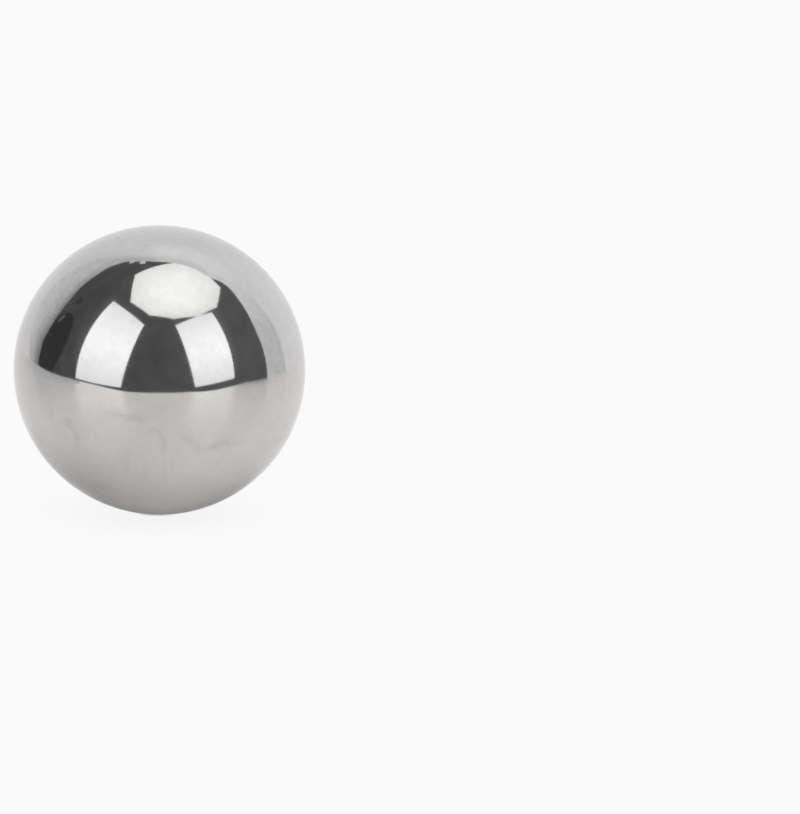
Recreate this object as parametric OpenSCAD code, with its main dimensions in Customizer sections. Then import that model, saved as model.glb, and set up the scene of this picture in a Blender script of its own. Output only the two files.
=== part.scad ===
// Polished steel ball for the bench or desk: one solid sphere, ground round
// and mirror polished all over, with no hole, flat, seam or plug.
// Millimetres, +Z up, origin at the ball's centre.

/* [Ball] */
// Diameter of the ball
ball_d = 100; // [10:1:200]

/* [Hidden] */

// Facets round the preview; the shape itself is a true sphere
$fn = 128;

// The ball: one solid sphere about the origin
module ball() {
    color("silver")
        sphere(d = ball_d);
}

ball();
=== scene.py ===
from math import cos, radians, sin

import bpy
import numpy as np
from mathutils import Matrix, Quaternion, Vector


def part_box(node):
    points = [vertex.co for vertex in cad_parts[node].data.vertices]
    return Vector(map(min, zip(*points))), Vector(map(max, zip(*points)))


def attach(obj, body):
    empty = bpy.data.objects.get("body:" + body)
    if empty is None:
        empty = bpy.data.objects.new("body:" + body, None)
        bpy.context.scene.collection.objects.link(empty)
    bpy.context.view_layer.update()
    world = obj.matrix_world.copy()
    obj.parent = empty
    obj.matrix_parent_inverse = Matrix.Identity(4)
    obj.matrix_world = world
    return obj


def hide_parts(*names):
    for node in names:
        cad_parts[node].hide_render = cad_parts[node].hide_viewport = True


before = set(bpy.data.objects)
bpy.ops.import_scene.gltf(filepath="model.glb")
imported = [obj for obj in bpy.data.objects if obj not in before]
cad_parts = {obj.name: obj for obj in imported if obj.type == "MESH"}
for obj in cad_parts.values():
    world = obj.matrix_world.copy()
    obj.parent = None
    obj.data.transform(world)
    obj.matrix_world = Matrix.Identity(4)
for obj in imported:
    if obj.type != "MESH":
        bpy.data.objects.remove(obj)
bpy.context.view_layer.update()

scene = bpy.context.scene


# --- Ball -------------------------------------------------------------------
# One solid stainless steel ball, ground round between plates and then mirror
# polished all over. Nothing is fixed to it: it has no hole, flat, stem or seam.

ball_low, ball_high = (Vector(corner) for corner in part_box("ball"))
ball_radius = (ball_high.z - ball_low.z) / 2
ball_centre = Vector((0.0, 0.0, ball_low.z + ball_radius))
ball_cells = 126          # cells along each edge of the six square patches


def cube_sphere(centre, radius, cells):
    """Points and quads of a sphere made of six square patches.

    On each patch the two parameters are angles from -45 to 45 degrees. Their
    tangents give a point on a cube's face, and dividing it by its length puts
    it on the unit sphere. Points that two patches share are merged.
    """
    tangent = np.tan(np.linspace(-np.pi / 4, np.pi / 4, cells + 1))
    a, b = (side.ravel() for side in np.meshgrid(tangent, tangent, indexing="ij"))
    one = np.ones_like(a)
    faces_of_cube = [(one, a, b), (-one, b, a), (b, one, a), (a, -one, b), (a, b, one), (b, a, -one)]
    points = np.concatenate([np.stack(face, axis=1) for face in faces_of_cube])
    points /= np.linalg.norm(points, axis=1, keepdims=True)

    corner = np.arange((cells + 1) ** 2).reshape(cells + 1, cells + 1)
    quad = np.stack([corner[:-1, :-1], corner[1:, :-1], corner[1:, 1:], corner[:-1, 1:]], axis=-1)
    quads = np.concatenate([quad.reshape(-1, 4) + patch * corner.size for patch in range(6)])
    _, first, merged = np.unique(np.round(points, 7), axis=0, return_index=True, return_inverse=True)
    return np.array(centre) + radius * points[first], merged.ravel()[quads]


def new_mesh(name, points, faces, smooth=True):
    """An object at the origin whose mesh holds the given points and faces."""
    mesh = bpy.data.meshes.new(name)
    mesh.from_pydata(points.tolist(), [], faces.tolist(), shade_flat=not smooth)
    made = bpy.data.objects.new(name, mesh)
    scene.collection.objects.link(made)
    return made


def keep_at_points(made, name, values):
    """Stores one number for each point of a mesh, for its material to read by name."""
    made.data.attributes.new(name, "FLOAT", "POINT").data.foreach_set("value", values.astype(np.float32))


def direction(azimuth, elevation):
    """The unit vector from the ball at an azimuth from the camera's side and an elevation, in degrees."""
    a, e = radians(azimuth), radians(elevation)
    return np.array([sin(a) * cos(e), -cos(a) * cos(e), sin(e)])


def wiped(points, azimuth, elevation, tilt, half_length, half_width, bow, strength):
    """How strongly one dried wipe mark covers each point of the ball.

    The mark is centred on an azimuth and elevation and turned by its tilt.
    With a the millimetres along it and b across it, less a bow that falls off
    with the square of a, it is exp(-(a / half length)^4 - (b / half width)^2).
    """
    outwards = direction(azimuth, elevation)
    level = direction(azimuth + 90, 0)
    upright = np.cross(outwards, level)
    along = cos(radians(tilt)) * level + sin(radians(tilt)) * upright
    across = cos(radians(tilt)) * upright - sin(radians(tilt)) * level
    a = points @ along * 1000 / half_length
    b = (points @ across * 1000 - bow * (1 - a ** 2)) / half_width
    return strength * np.exp(-a ** 4 - b ** 2) * (points @ outwards > 0)


def linear(hex_colour, alpha=1.0):
    """An sRGB hex colour, such as "#C9C8C6", as linear red, green, blue and alpha."""
    parts = [int(hex_colour[i:i + 2], 16) / 255 for i in (1, 3, 5)]
    return *(p / 12.92 if p <= 0.04045 else ((p + 0.055) / 1.055) ** 2.4 for p in parts), alpha


def new_material(name):
    """An empty node material and its output node."""
    made = bpy.data.materials.new(name)
    made.use_nodes = True
    made.node_tree.nodes.clear()
    return made, made.node_tree.nodes.new("ShaderNodeOutputMaterial")


def add(material, kind, settings=(), **inputs):
    """Adds a node. Settings are its own properties, and inputs are values or
    sockets to link, by the socket's name, or by "at" and its number."""
    node = material.node_tree.nodes.new("ShaderNode" + kind)
    for name, value in dict(settings).items():
        setattr(node, name, value)
    for name, value in inputs.items():
        socket = node.inputs[int(name[2:])] if name[:2] == "at" else node.inputs[name.replace("_", " ")]
        if isinstance(value, bpy.types.NodeSocket):
            material.node_tree.links.new(value, socket)
        else:
            socket.default_value = value
    return node


# Mirror-polished stainless steel: a clear neutral mirror of the whole room.
# A dried wipe has left it faintly hazy in patches and in a few short streaks,
# where it is a shade darker and less sharp. Lapping has left ripples under a
# micrometre high, which only soften its highlights.
clean_steel, hazy_steel = "#D0D0D0", "#C2C2C2"
clean_roughness, hazy_roughness = 0.045, 0.10
patch_haze, fleck_haze = 0.35, 0.40       # the most haze that patches and fine flecks add
patch_size, fleck_size, ripple_size = 0.016, 0.0028, 0.0016      # metres
ripple_height = 0.0000006                 # metres

polished_steel, output = new_material("mirror_polished_stainless_steel")
place = add(polished_steel, "TexCoord")
patches = add(polished_steel, "TexNoise", Vector=place.outputs["Object"], Scale=1 / patch_size,
              Detail=2.0, Roughness=0.5, Distortion=0.5)
flecks = add(polished_steel, "TexNoise", Vector=place.outputs["Object"], Scale=1 / fleck_size,
             Detail=3.0, Roughness=0.6, Distortion=0.3)
patch_share = add(polished_steel, "MapRange", Value=patches.outputs["Fac"],
                  From_Min=0.35, From_Max=0.75, To_Min=0.0, To_Max=patch_haze)
fleck_share = add(polished_steel, "MapRange", Value=flecks.outputs["Fac"],
                  From_Min=0.3, From_Max=0.7, To_Min=0.0, To_Max=1.0)
wipe = add(polished_steel, "Attribute", {"attribute_name": "wiped"})
streaks = add(polished_steel, "Math", {"operation": "MULTIPLY_ADD"}, at0=fleck_share.outputs["Result"],
              at1=fleck_haze, at2=wipe.outputs["Fac"])
haze = add(polished_steel, "Math", {"operation": "ADD", "use_clamp": True},
           at0=patch_share.outputs["Result"], at1=streaks.outputs["Value"])
tone = add(polished_steel, "Mix", {"data_type": "RGBA"}, at0=haze.outputs["Value"],
           at6=linear(clean_steel), at7=linear(hazy_steel))
dullness = add(polished_steel, "MapRange", Value=haze.outputs["Value"],
               From_Min=0.0, From_Max=1.0, To_Min=clean_roughness, To_Max=hazy_roughness)
ripples = add(polished_steel, "TexNoise", Vector=place.outputs["Object"], Scale=1 / ripple_size, Detail=1.0)
rippled = add(polished_steel, "Bump", Strength=1.0, Distance=ripple_height, Height=ripples.outputs["Fac"])
shine = add(polished_steel, "BsdfPrincipled", Base_Color=tone.outputs[2], Metallic=1.0,
            Roughness=dullness.outputs["Result"], Normal=rippled.outputs["Normal"])
polished_steel.node_tree.links.new(shine.outputs["BSDF"], output.inputs["Surface"])

ball_points, ball_faces = cube_sphere(ball_centre, ball_radius, ball_cells)
polished_ball = new_mesh("polished_ball", ball_points, ball_faces)
polished_ball.data.materials.append(polished_steel)

# Each mark: azimuth, elevation and tilt in degrees, half length, half width
# and bow in millimetres, and strength.
wipe_marks = (
    (-12.5, -7.9, -8, 6.0, 1.0, 0.0, 0.65),
    (-8.8, -8.6, -5, 2.9, 1.1, 0.0, 0.35),
    (-36.6, -13.3, 70, 1.9, 1.7, 0.0, 0.95),
    (-34.9, -19.9, -90, 4.0, 1.2, 1.0, 0.75),
    (-0.7, -12.6, -18, 1.7, 0.9, 0.0, 0.65),
    (1.7, -17.6, -76, 4.0, 0.9, 0.7, 0.55),
    (13.6, -18.1, -40, 5.7, 1.2, 0.0, 0.55),
    (24.9, -19.2, 17, 3.8, 1.4, 0.2, 1.00),
    (32.4, -18.9, 0, 3.0, 0.9, 0.0, 0.40),
    (-12.3, -26.8, 90, 4.0, 0.7, 0.0, 0.45),
    (-4.7, -32.3, 90, 3.6, 0.7, 0.0, 0.30),
    (3.1, -30.2, 90, 5.6, 0.7, 0.0, 0.35),
    (6.2, -26.3, 94, 2.8, 0.7, 0.0, 0.30),
    (-28.0, -43.0, -2, 5.0, 1.4, 0.0, 0.40),
)
keep_at_points(polished_ball, "wiped", sum(wiped(ball_points, *mark) for mark in wipe_marks))
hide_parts("ball")
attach(polished_ball, "root")


# --- Table ------------------------------------------------------------------
# An opal acrylic table top that the ball stands on. Its glow is painted light,
# stronger towards its front.
# Its front edge is about 0.43 m in front of the ball, a little wavy and not
# quite square to the view, and its front left corner is rounded.

table_z = ball_low.z
table_outline = np.array([
    (-0.50, -0.400), (-0.40, -0.41), (-0.16, -0.39), (-0.02, -0.45), (0.21, -0.485), (0.26, -0.445),
    (0.42, -0.445), (0.60, -0.47), (1.35, -0.53), (1.35, 1.40), (-1.25, 1.40),
    (-1.10, 0.52), (-0.93, 0.22), (-0.83, 0.02), (-0.77, -0.14), (-0.70, -0.30),
])
opal_colour, opal_roughness = "#EBEAE8", 0.36
studio_white = "#FAFAFA"
# Painted light: the table's glow, and how much more its front edge gets.
painted_table_glow, painted_front_glow = 0.165, 0.10      # the table's own glow, and how much its front adds
front_start, front_end = -0.15, -0.50     # where along y the glow starts and stops rising
# The ball's shadow: metres from where it touches to where the dark contact
# starts to fade, to where it has faded, and to where the pale shadow ends. Out
# to there the camera sees the lit satin mixed into plain white by nearness to the
# ball, so the pale shadow is partly real shadow and partly painted shade.
contact_core, contact_edge, shadow_end = 0.0052, 0.0090, 0.055
shadow_white = 0.90                       # the least share of plain white in the pale shadow
# The table's painted light isn't quite even. Each soft round patch has a place, a
# reach in metres and a change of glow: painted light at the front of the ball's
# foot, painted shade at its left, a dimmer patch straight in front, a lighter one
# before the left softbox, and painted shade behind the foot, left and right.
painted_table_patches = (
    (0.010, -0.033, 0.038, 0.064),
    (-0.039, -0.016, 0.034, -0.070),
    (0.000, -0.140, 0.090, -0.050),
    (-0.150, -0.175, 0.110, 0.070),
    (-0.060, 0.030, 0.050, -0.095),
    (0.030, 0.002, 0.030, -0.120),
)

table_points = np.insert(table_outline, 2, table_z, axis=1)
table = new_mesh("table_top", table_points, np.arange(len(table_points))[None, :], smooth=False)

# Satin opal acrylic: milky and blurred in what it reflects, with painted light as
# its emission. The camera sees it plain white but for the ball's soft shadow,
# which is partly painted shade.
opal_acrylic, output = new_material("satin_opal_acrylic")
place = add(opal_acrylic, "TexCoord")
axes = add(opal_acrylic, "SeparateXYZ", Vector=place.outputs["Object"])
glow_here = add(opal_acrylic, "MapRange", {"interpolation_type": "SMOOTHSTEP"}, Value=axes.outputs["Y"],
                From_Min=front_start, From_Max=front_end, To_Min=painted_table_glow, To_Max=painted_table_glow + painted_front_glow)
painted_table_light = glow_here.outputs["Result"]
# Each patch changes the table's painted light by its own amount.
for x, y, reach, change in painted_table_patches:
    from_middle = add(opal_acrylic, "VectorMath", {"operation": "DISTANCE"}, at0=place.outputs["Object"],
                      at1=(x, y, table_z))
    changed = add(opal_acrylic, "MapRange", {"interpolation_type": "SMOOTHSTEP"},
                  Value=from_middle.outputs["Value"],
                  From_Min=0.0, From_Max=reach, To_Min=change, To_Max=0.0)
    painted_table_light = add(opal_acrylic, "Math", {"operation": "ADD"}, at0=painted_table_light,
                      at1=changed.outputs["Result"]).outputs["Value"]
satin = add(opal_acrylic, "BsdfPrincipled", Base_Color=linear(opal_colour), Roughness=opal_roughness,
            Emission_Color=linear(opal_colour), Emission_Strength=painted_table_light)
# Painted shade by distance: near the ball's foot the camera sees less plain white and more of the lit
# satin.
from_ball = add(opal_acrylic, "VectorMath", {"operation": "DISTANCE"}, at0=place.outputs["Object"],
                at1=(ball_centre.x, ball_centre.y, table_z))
off_contact = add(opal_acrylic, "MapRange", Value=from_ball.outputs["Value"],
                  From_Min=contact_core, From_Max=contact_edge, To_Min=0.0, To_Max=1.0)
fade = add(opal_acrylic, "MapRange", {"interpolation_type": "SMOOTHSTEP"}, Value=from_ball.outputs["Value"],
           From_Min=contact_edge, From_Max=shadow_end, To_Min=shadow_white, To_Max=1.0)
whitened = add(opal_acrylic, "Math", {"operation": "MULTIPLY"}, at0=fade.outputs["Result"],
               at1=off_contact.outputs["Result"])
seen = add(opal_acrylic, "LightPath")
fade_seen = add(opal_acrylic, "Math", {"operation": "MULTIPLY"}, at0=whitened.outputs["Value"],
                at1=seen.outputs["Is Camera Ray"])
plain = add(opal_acrylic, "Emission", Color=linear(studio_white), Strength=1.0)
mixed = add(opal_acrylic, "MixShader", at0=fade_seen.outputs["Value"], at1=satin.outputs["BSDF"],
            at2=plain.outputs["Emission"])
opal_acrylic.node_tree.links.new(mixed.outputs["Shader"], output.inputs["Surface"])
table.data.materials.append(opal_acrylic)


# --- Paper sweep ------------------------------------------------------------
# White background paper hung behind the ball between two crinkled side cloths,
# joined here into one shell that is open to the front. Its front rim stands
# just behind the ball, 0.6 m above the table. The shell is no lamp: its glow is
# painted light and shade, its creases too.

rim_points = np.array([
    (1.00, -0.001, -0.06), (1.00, 0.002, 0.41), (0.94, 0.027, 0.55), (0.60, 0.065, 0.55),
    (0.42, 0.096, 0.55), (0.36, 0.092, 0.55), (0.325, 0.082, 0.55), (0.285, 0.067, 0.55),
    (0.22, 0.066, 0.55), (0.17, 0.087, 0.55), (0.02, 0.095, 0.55), (-0.045, 0.098, 0.55),
    (-0.085, 0.111, 0.55), (-0.15, 0.131, 0.55), (-0.20, 0.162, 0.55), (-0.31, 0.187, 0.55),
    (-0.37, 0.190, 0.55), (-0.42, 0.186, 0.55), (-0.56, 0.210, 0.55), (-0.75, 0.226, 0.55),
    (-0.88, 0.246, 0.55), (-1.00, 0.272, 0.50), (-1.00, 0.271, 0.36), (-1.00, 0.283, 0.27),
    (-1.00, 0.300, 0.19), (-1.00, 0.310, -0.06),
])
sweep_middle = np.array([0.0, 0.15, -0.05])
sweep_depth = 0.9
# Painted light: the paper's and the cloths' glow, and how much the hem's painted
# shade takes off.
paper_level, right_cloth_level, left_cloth_level = 0.87, 0.73, 0.745
paper_hem_shade = 0.16


def grid_faces(rows, columns):
    """Quads of a grid whose points run along the columns first."""
    corner = np.arange(rows * columns).reshape(rows, columns)
    quad = np.stack([corner[:-1, :-1], corner[:-1, 1:], corner[1:, 1:], corner[1:, :-1]], axis=-1)
    return quad.reshape(-1, 4)


def closed_back(rim, middle, depth, along, back):
    """The rim drawn back into a half dome, and how far back each point is from it.

    A point of the rim moves towards the middle by the cosine, and backwards by
    the sine, of one angle.
    """
    reach = np.concatenate([[0], np.cumsum(np.linalg.norm(np.diff(rim, axis=0), axis=1))])
    steps = np.linspace(0, reach[-1], along)
    edge = np.stack([np.interp(steps, reach, rim[:, axis]) for axis in range(3)], axis=1)
    angle = np.linspace(0, np.pi / 2, back)[:, None, None]
    points = middle + (edge - middle) * np.cos(angle) + np.array([0, depth, 0]) * np.sin(angle)
    behind_rim = np.repeat(depth * np.sin(angle.ravel()), along)
    return points.reshape(-1, 3), grid_faces(back, along), behind_rim


def soft_step(value, start, end):
    """Rises from 0 at the start to 1 at the end with no corner, as 3 s^2 - 2 s^3 of the share s between."""
    share = np.clip((value - start) / (end - start), 0, 1)
    return share * share * (3 - 2 * share)


def glowing_card(name, points, faces, glow, colour, creases=0.0, crease_size=0.05, clear=False):
    """A stage mesh that gives off light and that the camera doesn't see. For the
    softboxes it is their lamps' light; for every other card it is painted light.

    Each point has its own glow. Noise of the crease size, in metres, adds to
    it or takes from it by up to half the creases' strength: painted light and
    shade of creases, but on the softboxes the uneven light of their cloth. A
    clear card only adds its light to what lies behind it.
    """
    card = new_mesh(name, points, faces)
    keep_at_points(card, "glow", np.broadcast_to(glow, len(points)))
    keep_at_points(card, "creases", np.broadcast_to(creases, len(points)))
    lit, out = new_material(name)
    place = add(lit, "TexCoord")
    noise = add(lit, "TexNoise", Vector=place.outputs["Object"], Scale=1 / crease_size, Detail=3.0)
    swing = add(lit, "MapRange", Value=noise.outputs["Fac"],
                From_Min=0.25, From_Max=0.75, To_Min=-0.5, To_Max=0.5)
    glow_here = add(lit, "Attribute", {"attribute_name": "glow"})
    creases_here = add(lit, "Attribute", {"attribute_name": "creases"})
    strength = add(lit, "Math", {"operation": "MULTIPLY_ADD"}, at0=swing.outputs["Result"],
                   at1=creases_here.outputs["Fac"], at2=glow_here.outputs["Fac"])
    light = add(lit, "Emission", Color=linear(colour), Strength=strength.outputs["Value"])
    surface = light.outputs["Emission"]
    if clear:
        through = add(lit, "BsdfTransparent")
        surface = add(lit, "AddShader", at0=surface, at1=through.outputs["BSDF"]).outputs["Shader"]
    lit.node_tree.links.new(surface, out.inputs["Surface"])
    card.data.materials.append(lit)
    card.visible_camera = False


sweep_points, sweep_faces, behind_rim = closed_back(
    rim_points, sweep_middle, sweep_depth, along=241, back=121)

# How far each point lies left of straight behind the ball, and above it, in degrees.
x, y, z = sweep_points.T
leftwards = np.degrees(np.arctan2(-x, y))
upwards = np.degrees(np.arctan2(z, np.hypot(x, y)))

# Painted light on the paper: brightest to the right and under the overhead
# softbox, with painted shade on the hem along its top, some 60 mm wide.
painted_paper_light = paper_level + 0.06 * soft_step(-leftwards, 15, 45) - 0.03 * soft_step(leftwards, 25, 37)
overhead = soft_step(upwards - 0.15 * leftwards, 53, 65) * soft_step(-leftwards, -28, -3)
painted_paper_light += (1.0 - painted_paper_light) * overhead
painted_paper_light -= paper_hem_shade * (1 - soft_step(behind_rim, 0.02, 0.10)) * soft_step(upwards, 62, 67)

# The right cloth meets the paper on an upright line. The left cloth meets it
# on a line that swings forwards near the table, and its painted shade deepens
# to the front.
painted_right_cloth_light = right_cloth_level + 0.17 * soft_step(upwards, 18, 46)
right_share = soft_step(-leftwards, 65.5, 67.5)
left_line = 40.5 + 18.5 * (np.maximum(25 - upwards, 0) / 27) ** 2
left_width = 1.5 + 0.25 * np.maximum(upwards - 36, 0)
left_share = soft_step((leftwards - left_line) / left_width, -1, 1)
painted_left_cloth_light = left_cloth_level - 0.26 * (np.maximum(leftwards - 49, 0) / 24) ** 2
painted_left_cloth_light -= 0.13 * soft_step(leftwards, 52, 70) * soft_step(-upwards, -24, -6)
painted_left_cloth_light -= 0.12 * (1 - soft_step(behind_rim, 0.0, 0.15))
cloth_share = np.maximum(right_share, left_share)

painted_sweep_light = painted_paper_light + (painted_right_cloth_light - painted_paper_light) * right_share + (painted_left_cloth_light - painted_paper_light) * left_share
glowing_card("paper_sweep", sweep_points, sweep_faces, painted_sweep_light, "#FFFDFE",
             creases=0.03 + 0.10 * cloth_share, crease_size=0.06)


# --- Softboxes --------------------------------------------------------------
# Two 60 by 90 cm softboxes in front of the table, left and right of the camera,
# and one eight-sided 90 cm softbox overhead. A faint halo of painted light round
# each stands in for scattered light.

softbox_width, softbox_height = 0.60, 0.90
octabox_width = 0.90
octabox_middle = np.array([0.148, -0.288, 0.734])
octabox_brightest = octabox_middle + np.array([-0.001, 0.028, -0.008])
octabox_facing = -157.5, 73.2, -19.0      # azimuth, pitch and roll
octabox_lamp_width = 0.80                 # the side of a square lamp in front of it
lamp_power = 0.95         # watts per square metre of lamp, for the table alone
halo_reach = 0.17         # metres from a softbox's edge to where its halo ends
card_gap = 0.01           # metres from a softbox to its lamp in front and its halo behind


def card_axes(azimuth, pitch, roll):
    """Back, right and up unit vectors of a card whose back faces an azimuth and
    pitch, in degrees, and which is rolled in its own plane."""
    back = direction(azimuth, pitch)
    level = direction(azimuth + 90, 0)
    upright = np.cross(level, -back)
    right = cos(radians(roll)) * level + sin(radians(roll)) * upright
    up = -sin(radians(roll)) * level + cos(radians(roll)) * upright
    return back, right, up


def rectangle(middle, width, height, azimuth, pitch, roll, across=13, upwards=19):
    """Points and quads of a rectangle, and each point's height on it, from -0.5 at its foot to 0.5."""
    _, right, up = card_axes(azimuth, pitch, roll)
    u, v = np.meshgrid(np.linspace(-0.5, 0.5, across), np.linspace(-0.5, 0.5, upwards))
    points = middle + (u * width).reshape(-1, 1) * right + (v * height).reshape(-1, 1) * up
    return points, grid_faces(upwards, across), v.ravel()


def disc(middle, width, height, azimuth, pitch, roll, corners, rings=10):
    """Points and quads of an oval, or of a polygon where the corners are few.

    A point is the middle plus a share of the way to the edge, which is half the
    width times the cosine of an angle along, and half the height times its sine up.
    """
    _, right, up = card_axes(azimuth, pitch, roll)
    angle = np.arange(corners) * 2 * np.pi / corners
    edge = width / 2 * np.cos(angle)[:, None] * right + height / 2 * np.sin(angle)[:, None] * up
    share = np.linspace(0, 1, rings)
    points = middle + (share[:, None, None] * edge).reshape(-1, 3)
    ring, step = np.meshgrid(np.arange(rings - 1) * corners, np.arange(corners), indexing="ij")
    onward = (step + 1) % corners
    faces = np.stack([ring + step, ring + onward, ring + corners + onward, ring + corners + step], axis=-1)
    return points, faces.reshape(-1, 4)


def soft_lamp(name, middle, width, height, azimuth, pitch, roll):
    """A lamp just in front of a softbox, which lights the table and isn't mirrored by the steel."""
    back, right, up = card_axes(azimuth, pitch, roll)
    lamp = bpy.data.objects.new(name, bpy.data.lights.new(name, "AREA"))
    lamp.data.shape = "RECTANGLE"
    lamp.data.size, lamp.data.size_y = width, height
    lamp.data.energy = lamp_power * width * height
    lamp.matrix_world = Matrix((*zip(right, up, back, middle - card_gap * back), (0, 0, 0, 1)))
    lamp.visible_camera = lamp.visible_glossy = False
    scene.collection.objects.link(lamp)


def softbox_halo(name, middle, azimuth, pitch, roll, steps=61):
    """Painted light round a softbox for its scattered light, strongest at its edge and outer side, with
    none at its foot.
    """
    back, right, up = card_axes(azimuth, pitch, roll)
    half_width, half_height = softbox_width / 2, softbox_height / 2
    x, z = np.meshgrid(np.linspace(-half_width - halo_reach, half_width + halo_reach, steps),
                       np.linspace(-half_height, half_height + halo_reach, steps))
    points = middle + card_gap * back + x.reshape(-1, 1) * right + z.reshape(-1, 1) * up
    past_edge = np.hypot(np.maximum(np.abs(x) - half_width, 0), np.maximum(z - half_height, 0)).ravel()
    outwards = np.clip(x.ravel() * np.sign(middle[0]) / half_width, -1, 1)
    above_foot = soft_step(z.ravel(), -half_height, -half_height / 3)
    glow = (0.027 + 0.018 * outwards) * (1 - soft_step(past_edge, 0, halo_reach)) * above_foot
    glowing_card(name, points, grid_faces(steps, steps), glow, "#FFFFFF", clear=True)


for name, azimuth, elevation, distance, facing, pitch, roll in (
    ("softbox_left", -42.16, 25.76, 0.859, -57.85, 15.1, -4.0),
    ("softbox_right", 39.30, 25.10, 0.977, 36.95, 19.6, 8.2),
):
    middle = distance * direction(azimuth, elevation)
    points, faces, height = rectangle(middle, softbox_width, softbox_height, facing, pitch, roll)
    # Brightest at its middle, and a little darker at its foot than at its top.
    glow = 1.54 + 0.12 * height - 0.80 * np.abs(height + 0.03) ** 1.25
    glowing_card(name, points, faces, glow, "#FFFFFF", creases=0.06, crease_size=0.12)
    softbox_halo(name + "_halo", middle, facing, pitch, roll)
    soft_lamp(name + "_lamp", middle, softbox_width, softbox_height, facing, pitch, roll)

points, faces = disc(octabox_middle, octabox_width, octabox_width, *octabox_facing, corners=8)
off_brightest = np.linalg.norm(points - octabox_brightest, axis=1) / (octabox_width / 2)
glow = 1.52 - 0.35 * off_brightest ** 2
glowing_card("softbox_overhead", points, faces, glow, "#FFFFFD", creases=0.08, crease_size=0.12)
soft_lamp("softbox_overhead_lamp", octabox_middle, octabox_lamp_width, octabox_lamp_width, *octabox_facing)

# Its halo of painted light starts on a circle that runs midway between its sides and its corners.
halo_middle = octabox_middle + card_gap * card_axes(*octabox_facing)[0]
halo_width = octabox_width + 2 * halo_reach
points, faces = disc(halo_middle, halo_width, halo_width, *octabox_facing, corners=48, rings=40)
past_edge = np.linalg.norm(points - octabox_middle, axis=1) - 0.96 * octabox_width / 2
glow = 0.010 * (1 - soft_step(past_edge, 0, halo_reach))
glowing_card("softbox_overhead_halo", points, faces, glow, "#FFFFFF", clear=True)


# --- Dark room --------------------------------------------------------------
# The unlit room round the table. On the left a round black reflector with a pale
# label stands below a small dark fitting, and the side cloth's hem lies on the
# table. Two pale clamps hold the paper's top edge. None of them is a lamp: how
# bright each one shows is painted light.

room_middle, room_radius = (0.0, -0.35, 0.4), 2.4
# Painted light: the room's dim glow, a little brighter to the right.
painted_room_level, room_slope = 0.108, 0.008     # glow at the ball, and how much more each metre to its right
label_middle, label_width, label_height, label_lean = (-1.25, 0.21, 0.58), 0.05, 0.15, -22.0
hem_rows, cloth_thickness = 7, 0.002
clamp_z, clamp_depth, clamp_lean = 0.545, 0.034, -8.0
cloth_light_width, cloth_light_power = 0.35, 0.13         # metres and watts
cloth_light_height = 0.40                                 # metres above the table
hem_inside = np.array([
    (-0.70, 0.37), (-0.535, 0.21), (-0.44, 0.125), (-0.39, 0.07), (-0.365, 0.02),
    (-0.36, -0.05), (-0.37, -0.11), (-0.42, -0.20), (-0.47, -0.27),
])
hem_outside = np.array([
    (-1.015, 0.37), (-0.93, 0.22), (-0.87, 0.10), (-0.83, 0.02), (-0.80, -0.06),
    (-0.775, -0.12), (-0.75, -0.19), (-0.705, -0.28), (-0.64, -0.315),
])

points, faces = cube_sphere(room_middle, room_radius, 12)
glow = painted_room_level + room_slope * points[:, 0]
glowing_card("dark_room", points, faces, glow, "#FFFFFF", creases=0.03, crease_size=0.5)

for name, middle, width, height, lean, glow in (
    ("black_reflector", (-1.27, 0.125, 0.304), 0.58, 0.92, -15.0, 0.047),
    ("dark_fitting", (-1.27, 0.165, 1.009), 0.20, 0.19, 0.0, 0.066),
):
    points, faces = disc(middle, width, height, -90.0, 0.0, lean, corners=32)
    glowing_card(name, points, faces, glow, "#FFFFFF")
points, faces, _ = rectangle(label_middle, label_width, label_height, -90.0, 0.0, label_lean,
                             across=2, upwards=2)
glowing_card("reflector_label", points, faces, 0.16, "#FFFFFF")

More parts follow.
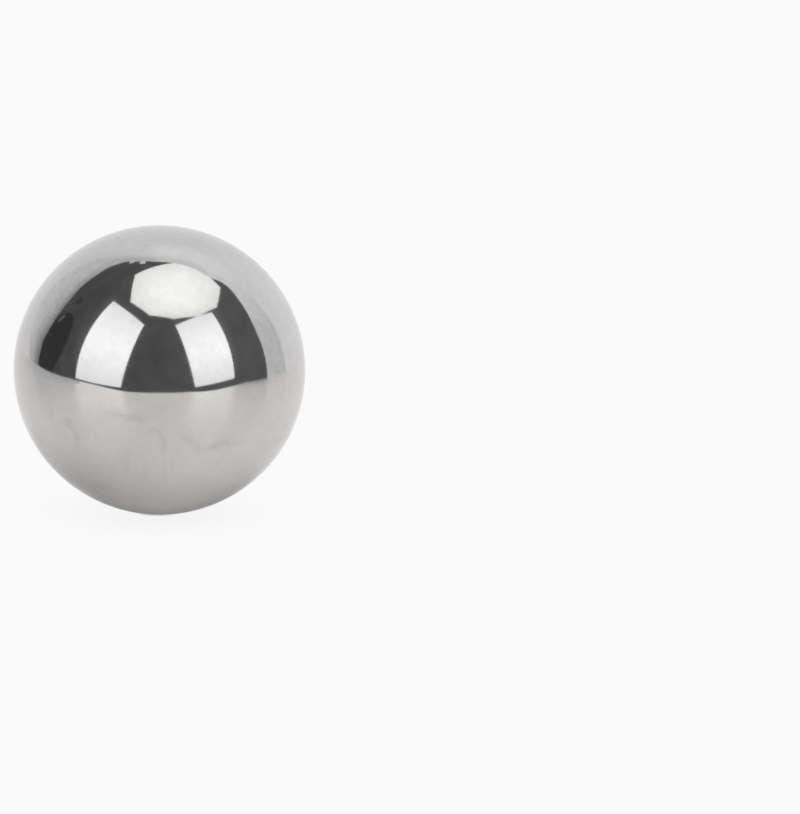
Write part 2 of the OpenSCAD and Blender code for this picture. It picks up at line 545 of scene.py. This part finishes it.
share = np.linspace(0, 1, hem_rows)[:, None, None]
hem = hem_inside + share * (hem_outside - hem_inside)
points = np.insert(hem.reshape(-1, 2), 2, table_z + cloth_thickness, axis=1)
# Painted light on the hem, darker towards its outer side.
glow = 0.65 - 0.11 * np.repeat(share, len(hem_inside))
glowing_card("cloth_hem", points, grid_faces(hem_rows, len(hem_inside)), glow, "#FFFEFE")

# The light that the side cloth throws onto the table.
cloth_light = bpy.data.objects.new("cloth_light", bpy.data.lights.new("cloth_light", "AREA"))
cloth_light.data.size = cloth_light_width
cloth_light.data.energy = cloth_light_power
cloth_light.data.color = linear("#FFF0F6")[:3]
cloth_light.location = (-0.34, -0.04, table_z + cloth_light_height)
cloth_light.visible_camera = cloth_light.visible_glossy = False
scene.collection.objects.link(cloth_light)

for name, x, y, width in (("clamp_left", -0.168, 0.141, 0.026), ("clamp_right", -0.111, 0.106, 0.030)):
    points, faces, _ = rectangle((x, y, clamp_z), width, clamp_depth, 0.0, 90.0, clamp_lean,
                                 across=2, upwards=2)
    glowing_card(name, points, faces, 0.76, "#FFFFFF")


# --- Background and camera --------------------------------------------------
# A plain white world behind the set, and a camera in front, slightly above the
# ball and turned to its right.

camera_lens = 85.0            # millimetres, on a 36 mm sensor
camera_distance = 0.671
camera_azimuth, camera_elevation = 0.4, 10.25
camera_roll = 3.2
camera_aim = Vector((0.08403, 0.0, -0.01025))

world = bpy.data.worlds.new("studio_white")
world.use_nodes = True
world.node_tree.nodes["Background"].inputs["Color"].default_value = linear(studio_white)
scene.world = world

camera = bpy.data.objects.new("camera", bpy.data.cameras.new("camera"))
camera.data.lens = camera_lens
camera.data.sensor_width = 36.0
camera.location = ball_centre + camera_distance * Vector(direction(camera_azimuth, camera_elevation))
view_axis = (ball_centre + camera_aim - camera.location).normalized()
camera.rotation_mode = "QUATERNION"
facing_ball = view_axis.to_track_quat("-Z", "Y")
camera.rotation_quaternion = facing_ball @ Quaternion((0, 0, 1), radians(camera_roll))
camera.data.clip_start, camera.data.clip_end = 0.01, 20.0
scene.collection.objects.link(camera)
scene.camera = camera

scene.view_settings.view_transform = "Standard"
